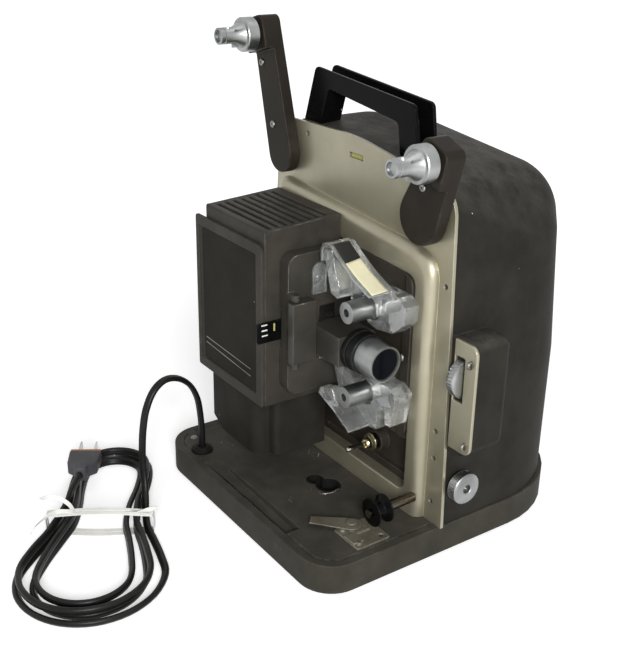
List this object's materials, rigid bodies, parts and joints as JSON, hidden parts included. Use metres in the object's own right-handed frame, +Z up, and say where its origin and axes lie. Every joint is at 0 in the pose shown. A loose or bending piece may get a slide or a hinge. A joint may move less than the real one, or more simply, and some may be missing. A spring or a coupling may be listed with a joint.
{
  "type": "movie projector",
  "caption": "Table-top small-gauge movie projector with folding reel arms, open film path, vented lamp house, rounded rear cover and tied mains lead.",
  "frame": {"origin": "centre of the projector's box at table height, without the free mains lead", "axes": "+Z up, +X the way the lens throws, film side facing -Y, rear cover on +Y"},
  "size_m": [0.2902, 0.4433, 0.3711],
  "materials": {
    "base_paint": "fine wrinkle enamel, dark warm grey",
    "housing": "fine wrinkle enamel, dark warm grey",
    "khaki": "satin khaki enamel on pressed sheet",
    "arm_brown": "semi-gloss brown enamel on die casting",
    "mechanism": "semi-gloss dark brown enamel",
    "lamphouse": "fine wrinkle enamel, charcoal",
    "machined": "turned aluminium",
    "plated": "plated steel",
    "gold": "yellow passivated plating",
    "black_metal": "black oxide",
    "black_plastic": "moulded, satin black",
    "clear_plastic": "clear acrylic",
    "lens_glass": "coated optical glass",
    "lamp_glass": "clear bulb glass",
    "rubber": "black rubber",
    "cable": "black PVC lead",
    "tie": "white paper-covered twist tie",
    "plug_grey": "moulded grey plug",
    "motor_steel": "mill finish",
    "ceramic": "lamp holder ceramic"
  },
  "bodies": {
    "root": {"base_tub": "base_paint", "base_plate": "base_paint", "feet": "rubber", "main_plate": "khaki", "rear_cover": "housing", "side_bracket": "khaki", "bracket_screws": "plated", "mechanism_plate": "mechanism", "switch_panel": "mechanism", "toggle_body": "gold", "film_box_rear": "housing", "film_box_front": "housing", "gate_housing": "mechanism", "aperture_plate": "plated", "film_tab": "clear_plastic", "upper_guide": "clear_plastic", "guide_block": "clear_plastic", "lower_guide": "clear_plastic", "snubber_shaft": "machined", "cutter_base": "motor_steel", "deck_cup": "rubber", "handle": "black_plastic", "handle_screws": "plated", "cord_grommet": "rubber", "cord_run": "cable", "cord_hank": "cable", "cord_tie": "tie", "plug": "plug_grey", "motor": "motor_steel", "drive_belt": "rubber", "lamp": "lamp_glass", "lamp_socket": "ceramic", "reflector": "plated"},
    "lamphouse": {"lamphouse_cover": "lamphouse", "lamp_panel": "lamphouse"},
    "mode_lever": {"mode_tab": "black_plastic"},
    "supply_arm": {"supply_arm": "arm_brown"},
    "supply_spindle": {"supply_spindle": "machined"},
    "takeup_arm": {"takeup_arm": "arm_brown"},
    "takeup_spindle": {"takeup_spindle": "machined"},
    "lens_gate": {"gate_door": "mechanism", "lens_carrier": "mechanism", "lens_clamp": "black_metal", "pressure_plate": "plated"},
    "lens": {"lens_barrel": "machined", "lens_front_glass": "lens_glass", "lens_rear_glass": "lens_glass"},
    "motor_rotor": {"motor_rotor": "motor_steel", "fan": "black_metal"},
    "main_shaft": {"main_shaft": "motor_steel", "shutter": "black_metal"},
    "upper_sprocket": {"upper_sprocket": "machined"},
    "lower_sprocket": {"lower_sprocket": "machined"},
    "snubber_roller": {"snubber_roller": "black_plastic"},
    "framing_wheel": {"framing_wheel": "machined"},
    "tilt_shaft": {"tilt_knob": "machined", "tilt_shaft": "plated"},
    "tilt_leg": {"tilt_leg": "motor_steel"},
    "toggle_bat": {"toggle_bat": "plated"},
    "cutter_blade": {"cutter_blade": "motor_steel"}
  },
  "joints": [
    {"name": "lamphouse_pull", "type": "slide", "parent": "root", "child": "lamphouse", "axis": [0, -1, 0], "range_m": [0, 0.02]},
    {"name": "mode_slide", "type": "slide", "parent": "root", "child": "mode_lever", "axis": [0, 0, 1], "range_m": [-0.008, 0.008]},
    {"name": "supply_arm_fold", "type": "hinge", "parent": "root", "child": "supply_arm", "pos_m": [0.07505, -0.0267, 0.2585], "axis": [0, -1, 0], "range_deg": [0, 80]},
    {"name": "supply_spin", "type": "hinge", "parent": "supply_arm", "child": "supply_spindle", "pos_m": [0.09273, -0.0483, 0.30097], "axis": [0, -1, 0], "continuous": true},
    {"name": "takeup_arm_fold", "type": "hinge", "parent": "root", "child": "takeup_arm", "pos_m": [-0.09575, -0.0267, 0.2675], "axis": [0, -1, 0], "range_deg": [-97, 0]},
    {"name": "takeup_spin", "type": "hinge", "parent": "takeup_arm", "child": "takeup_spindle", "pos_m": [-0.12075, -0.0483, 0.35645], "axis": [0, -1, 0], "continuous": true},
    {"name": "gate_swing", "type": "hinge", "parent": "root", "child": "lens_gate", "pos_m": [0.0031, -0.0876, 0.1517], "axis": [0, 0, 1], "range_deg": [-70, 0]},
    {"name": "lens_focus", "type": "slide", "parent": "lens_gate", "child": "lens", "axis": [1, 0, 0], "range_m": [0, 0.01]},
    {"name": "motor_spin", "type": "hinge", "parent": "root", "child": "motor_rotor", "pos_m": [-0.01225, 0.046, 0.082], "axis": [1, 0, 0], "continuous": true},
    {"name": "shaft_spin", "type": "hinge", "parent": "root", "child": "main_shaft", "pos_m": [-0.01225, -0.008, 0.1517], "axis": [1, 0, 0], "continuous": true},
    {"name": "upper_sprocket_spin", "type": "hinge", "parent": "root", "child": "upper_sprocket", "pos_m": [0.04245, -0.0553, 0.1851], "axis": [0, -1, 0], "continuous": true},
    {"name": "lower_sprocket_spin", "type": "hinge", "parent": "root", "child": "lower_sprocket", "pos_m": [0.04245, -0.0553, 0.1183], "axis": [0, -1, 0], "continuous": true},
    {"name": "snubber_spin", "type": "hinge", "parent": "root", "child": "snubber_roller", "pos_m": [0.08375, -0.0678, 0.0427], "axis": [0, -1, 0], "continuous": true},
    {"name": "framing_turn", "type": "hinge", "parent": "root", "child": "framing_wheel", "pos_m": [0.11475, -0.021, 0.151], "axis": [1, 0, 0], "range_deg": [-45, 45]},
    {"name": "tilt_turn", "type": "hinge", "parent": "root", "child": "tilt_shaft", "pos_m": [0.10875, -0.012, 0.059], "axis": [1, 0, 0], "range_deg": [-190, 0]},
    {"name": "tilt_leg_slide", "type": "slide", "parent": "root", "child": "tilt_leg", "axis": [0, 0, 1], "range_m": [-0.0198, 0]},
    {"name": "toggle_flip", "type": "hinge", "parent": "root", "child": "toggle_bat", "pos_m": [0.03375, -0.0348, 0.0666], "axis": [1, 0, 0], "range_deg": [-12, 12]},
    {"name": "cutter_swing", "type": "hinge", "parent": "root", "child": "cutter_blade", "pos_m": [0.07175, -0.082, 0.0285], "axis": [0, 0, 1], "range_deg": [0, 150]}
  ],
  "couplings": [
    {"joint": "shaft_spin", "follows": "motor_spin", "ratio": 0.5},
    {"joint": "upper_sprocket_spin", "follows": "motor_spin", "ratio": 0.020833},
    {"joint": "lower_sprocket_spin", "follows": "motor_spin", "ratio": -0.020833},
    {"joint": "tilt_turn", "follows": "tilt_leg_slide", "rad_per_m": 166.67}
  ]
}
